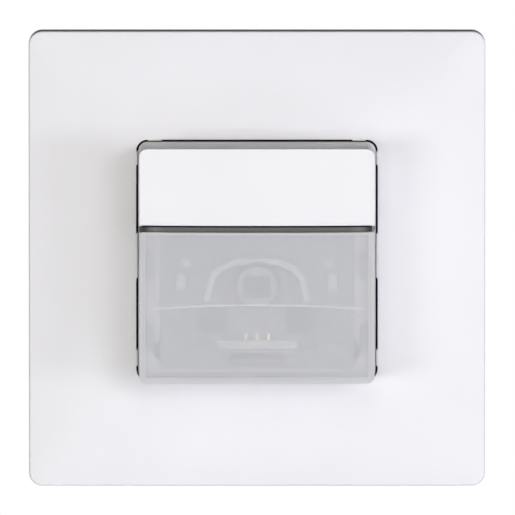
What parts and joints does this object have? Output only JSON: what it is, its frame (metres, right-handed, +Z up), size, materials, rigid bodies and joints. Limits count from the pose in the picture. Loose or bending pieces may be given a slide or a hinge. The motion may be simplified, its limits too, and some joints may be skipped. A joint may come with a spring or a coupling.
{
  "type": "motion sensor light switch",
  "caption": "Square wall-mounted motion sensor light switch: white cover frame, raised head with a tilting push button, smoked light bar and translucent sensor lens, flush-box base.",
  "frame": {"origin": "centre of the box screw pattern on the wall plane", "axes": "+Y into the wall, +Z up, +X to the right as seen from the front, which faces -Y"},
  "size_m": [0.088, 0.0431, 0.088],
  "materials": {
    "frame_white": "satin moulded",
    "button_white": "satin moulded",
    "smoked_bar": "smoked, polished front",
    "lens_grey": "translucent, frosted",
    "carrier_white": "moulded",
    "pin_steel": "ground",
    "board_grey": "grey solder mask",
    "header_steel": "plated",
    "element_ceramic": "fired ceramic",
    "can_steel": "drawn and plated",
    "window_dark": "coated filter",
    "visor_white": "moulded",
    "sensor_white": "moulded",
    "led_cream": "moulded",
    "clip_nylon": "moulded",
    "chip_black": "moulded",
    "baffle_grey": "moulded",
    "header_white": "moulded",
    "pin_brass": "gold plated",
    "switch_black": "moulded",
    "plunger_amber": "moulded",
    "dial_base_blue": "moulded",
    "dial_white": "moulded",
    "plug_black": "moulded",
    "plate_steel": "zinc plated",
    "clip_steel": "spring steel",
    "housing_white": "moulded",
    "rear_grey": "moulded",
    "board_green": "solder mask",
    "relay_black": "moulded",
    "film_yellow": "dipped box",
    "sleeve_navy": "shrink sleeve",
    "disc_blue": "dipped",
    "fuse_glass": "clear tube",
    "core_brown": "ferrite and tape",
    "terminal_grey": "moulded",
    "spring_steel": "spring steel",
    "contact_copper": "tinned copper",
    "screw_steel": "zinc plated"
  },
  "bodies": {
    "base": {"cover_frame": "frame_white", "light_bar": "smoked_bar", "fresnel_lens": "lens_grey", "head_carrier": "carrier_white", "hinge_pin": "pin_steel", "sensor_board": "board_grey", "pir_header": "header_steel", "pir_element": "element_ceramic", "pir_can": "can_steel", "pir_window": "window_dark", "sensor_visor": "visor_white", "light_sensors": "sensor_white", "indicator_leds": "led_cream", "board_clips": "clip_nylon", "controller_chip": "chip_black", "amplifier_chip": "chip_black", "lower_baffle": "baffle_grey", "program_header": "header_white", "program_pins": "pin_brass", "switch_body": "switch_black", "dial_bases": "dial_base_blue", "board_socket": "plug_black", "board_pins": "pin_brass", "pin_strip": "plug_black", "mounting_plate": "plate_steel", "frame_clips": "clip_steel", "base_housing": "housing_white", "rear_cover": "rear_grey", "power_board": "board_green", "relay": "relay_black", "film_capacitor": "film_yellow", "smoothing_capacitor": "sleeve_navy", "varistor": "disc_blue", "fuse": "fuse_glass", "transformer": "core_brown", "terminal_poles": "terminal_grey", "terminal_springs": "spring_steel", "terminal_contacts": "contact_copper", "stack_screws": "screw_steel", "cover_screws": "screw_steel"},
    "button": {"push_button": "button_white"},
    "plunger": {"switch_plunger": "plunger_amber"},
    "time_dial": {"time_dial": "dial_white"},
    "brightness_dial": {"brightness_dial": "dial_white"}
  },
  "joints": [
    {"name": "button_tilt", "type": "hinge", "parent": "base", "child": "button", "pos_m": [0, -0.0155, 0.0192], "axis": [1, 0, 0], "range_deg": [0, 2.5], "stiffness_Nm_per_rad": 0.3, "springref_deg": -2.86},
    {"name": "plunger_press", "type": "slide", "parent": "base", "child": "plunger", "axis": [0, 1, 0], "range_m": [0, 0.00045]},
    {"name": "time_dial_turn", "type": "hinge", "parent": "base", "child": "time_dial", "pos_m": [-0.011, -0.0113, 0.0125], "axis": [0, -1, 0], "range_deg": [-135, 135]},
    {"name": "brightness_dial_turn", "type": "hinge", "parent": "base", "child": "brightness_dial", "pos_m": [0.011, -0.0113, 0.0125], "axis": [0, -1, 0], "range_deg": [-135, 135]}
  ],
  "couplings": [
    {"joint": "plunger_press", "follows": "button_tilt", "m_per_rad": 0.0087}
  ]
}
